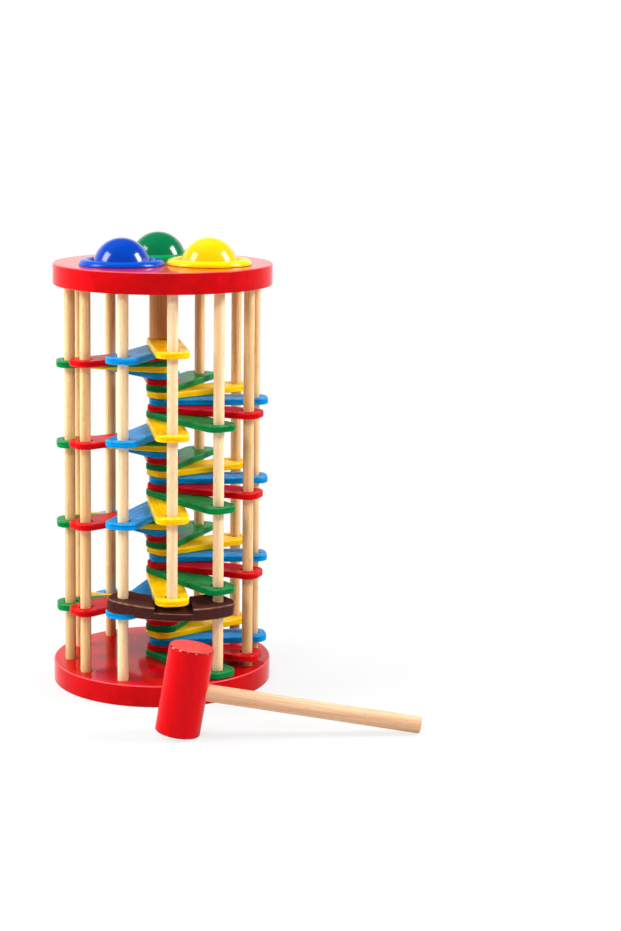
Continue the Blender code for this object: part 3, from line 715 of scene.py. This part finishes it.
bm = bmesh.new()
addRods(bm, [(0, 0)], hammer["headDiameter"], -headHalf, headHalf, hammer["headSides"])
bore = bmesh.new()
boreEnd = -hammer["socket"] - hammer["boreDeeper"]
addRods(bore, [(0, 0)], hammer["handleDiameter"] + hammer["boreRoom"], boreEnd, hammer["boreOut"],
        hammer["handleSides"])
bore.transform(hammerPlace.inverted() @ alongHandle)
bm = cutAway(bm, [bore])
edgeLayer = bm.faces.layers.float.new("edge")
struckLayer = bm.faces.layers.float.new("struck")
rims = [e for e in levelEdges(bm) if abs(abs(e.verts[0].co.z) - headHalf) < near]
for face in roundEdges(bm, rims, hammer["headEdge"], hammer["headEdgeSteps"]):
    face[edgeLayer] = 1
for face in bm.faces:
    if abs(face.normal.z) > 0.99:
        face[struckLayer] = 1
bm.transform(hammerPlace)
addPiece("hammer_block", bm, headPaint, "hammer_head")

bm = bmesh.new()
addRods(bm, [(0, 0)], hammer["handleDiameter"], -hammer["socket"], hammer["reach"], hammer["handleSides"])
roundEdges(bm, levelEdges(bm), hammer["handleEdge"], hammer["handleEdgeSteps"])
bm.transform(alongHandle)
addPiece("hammer_grip", bm, handleBeech, "hammer_handle")
print("hammer made")

# metres; nearWhite is how white the paper is shown up to shadowsTo, and it is all white from whiteFrom
paperSheet = {"half": 8, "colour": "#CACACA", "nearWhite": 0.76, "shadowsTo": 0.14, "whiteFrom": 0.5}
bm = bmesh.new()
bmesh.ops.create_grid(bm, x_segments=1, y_segments=1, size=paperSheet["half"])
floor = bpy.data.objects.new("floor", meshFrom(bm, "floor"))
bpy.context.scene.collection.objects.link(floor)
# White paper: matt, shadows show near the object, and it runs out into white
floorPaper = bpy.data.materials.new("white_paper")
floorPaper.use_nodes = True
tree = floorPaper.node_tree
tree.nodes.clear()
rays = addNode(tree, "LightPath")
paper = addNode(tree, "BsdfDiffuse", {"Color": linear(paperSheet["colour"])})
glow = addNode(tree, "Emission", {"Color": (1, 1, 1, 1), "Strength": 1})
where = addNode(tree, "TexCoord").outputs["Object"]
away = addNode(tree, "VectorMath", links={0: where}, operation="LENGTH")
whiteShare = addNode(tree, "MapRange", {
    "From Min": paperSheet["shadowsTo"], "From Max": paperSheet["whiteFrom"],
    "To Min": paperSheet["nearWhite"], "To Max": 1,
}, {"Value": away.outputs["Value"]}, interpolation_type="SMOOTHSTEP")
white = addNode(tree, "MixShader",
                links={0: whiteShare.outputs[0], 1: paper.outputs[0], 2: glow.outputs[0]})
direct = addNode(tree, "Math", operation="MAXIMUM",
                 links={0: rays.outputs["Is Camera Ray"], 1: rays.outputs["Is Transmission Ray"]})
seen = addNode(tree, "Math", operation="MAXIMUM",
               links={0: direct.outputs[0], 1: rays.outputs["Is Glossy Ray"]})
shown = addNode(tree, "MixShader", links={0: seen.outputs[0], 1: paper.outputs[0], 2: white.outputs[0]})
addNode(tree, "OutputMaterial", links={"Surface": shown.outputs[0]})
floor.data.materials.append(floorPaper)

# White studio: a white backdrop behind, which the glossy pieces mirror, and a dim room in front and above
world = bpy.data.worlds.new("white_studio")
bpy.context.scene.world = world
world.use_nodes = True
tree = world.node_tree
tree.nodes.clear()
rays = addNode(tree, "LightPath")
direction = addNode(tree, "SeparateXYZ", links={0: addNode(tree, "TexCoord").outputs["Generated"]})
behind = addNode(tree, "MapRange", {"From Min": 0.2, "From Max": 0.95, "To Min": 0.1, "To Max": 1.0},
                 {"Value": direction.outputs["Y"]}, interpolation_type="SMOOTHSTEP")
overhead = addNode(tree, "MapRange", {"From Min": 0.3, "From Max": 0.7, "To Min": 1.0, "To Max": 0.12},
                   {"Value": direction.outputs["Z"]}, interpolation_type="SMOOTHSTEP")
mirrored = addNode(tree, "Math", links={0: behind.outputs[0], 1: overhead.outputs[0]}, operation="MULTIPLY")
# the room's own soft light: a share of the backdrop, and a ceiling that brightens upwards
ceiling = addNode(tree, "MapRange", {"To Min": 0.0, "To Max": 0.65}, {"Value": direction.outputs["Z"]})
room = addNode(tree, "Math", {1: 0.4}, {0: mirrored.outputs[0], 2: ceiling.outputs[0]},
               operation="MULTIPLY_ADD")
around = addNode(tree, "Mix", data_type="FLOAT",
                 links={0: rays.outputs["Is Glossy Ray"], 2: room.outputs[0], 3: mirrored.outputs[0]})
seen = addNode(tree, "Math", operation="MAXIMUM",
               links={0: rays.outputs["Is Camera Ray"], 1: rays.outputs["Is Transmission Ray"]})
strength = addNode(tree, "Mix", {3: 1.0}, {0: seen.outputs[0], 2: around.outputs[0]}, data_type="FLOAT")
sky = addNode(tree, "Background", {"Color": (1, 1, 1, 1)}, {"Strength": strength.outputs[0]})
addNode(tree, "OutputWorld", links={"Surface": sky.outputs[0]})

# metres and watts; only the mirrored ones show as highlights
lamps = {
    "softbox_left": {"at": (-0.90, -0.12, 0.84), "size": (0.44, 0.54), "power": 7.8, "mirrored": True},
    "softbox_right": {"at": (0.90, -0.22, 0.82), "size": (0.36, 0.54), "power": 13.0, "mirrored": True},
    "window_front": {"at": (-0.55, -0.95, 0.95), "size": (0.30, 0.24), "power": 6.0, "mirrored": False},
    "softbox_high": {"at": (-0.25, 0.30, 1.10), "size": (0.80, 0.60), "power": 6.2, "mirrored": False},
    "softbox_low": {"at": (-0.85, 0.30, 0.38), "size": (0.50, 0.30), "power": 5.6, "mirrored": False},
}
lampAim = Vector((0, 0, 0.18))
for name, lamp in lamps.items():
    light = bpy.data.lights.new(name, "AREA")
    light.shape = "RECTANGLE"
    light.size, light.size_y = lamp["size"]
    light.energy = lamp["power"]
    softbox = bpy.data.objects.new(name, light)
    softbox.location = lamp["at"]
    softbox.visible_glossy = lamp["mirrored"]
    softbox.rotation_euler = (lampAim - Vector(lamp["at"])).to_track_quat("-Z", "Y").to_euler()
    bpy.context.scene.collection.objects.link(softbox)

# heading, down and roll are in degrees, lens and sensor in mm
view = {
    "at": (-0.1517, -1.5200, 0.4617), "heading": 9.87, "down": 7.11, "roll": 0.61,
    "lens": 78.84, "sensor": 36, "shift": -0.15, "clip": 0.05,
}
camera = bpy.data.objects.new("camera", bpy.data.cameras.new("camera"))
bpy.context.scene.collection.objects.link(camera)
camera.data.lens = view["lens"]
camera.data.sensor_width = view["sensor"]
camera.data.shift_y = view["shift"]
camera.data.clip_start = view["clip"]
aim = Matrix.Rotation(math.radians(-view["heading"]), 4, "Z")
aim = aim @ Matrix.Rotation(math.radians(90 - view["down"]), 4, "X")
aim = aim @ Matrix.Rotation(math.radians(view["roll"]), 4, "Z")
camera.matrix_world = Matrix.Translation(view["at"]) @ aim
bpy.context.scene.camera = camera
bpy.context.scene.view_settings.view_transform = "Standard"
print("stage made")
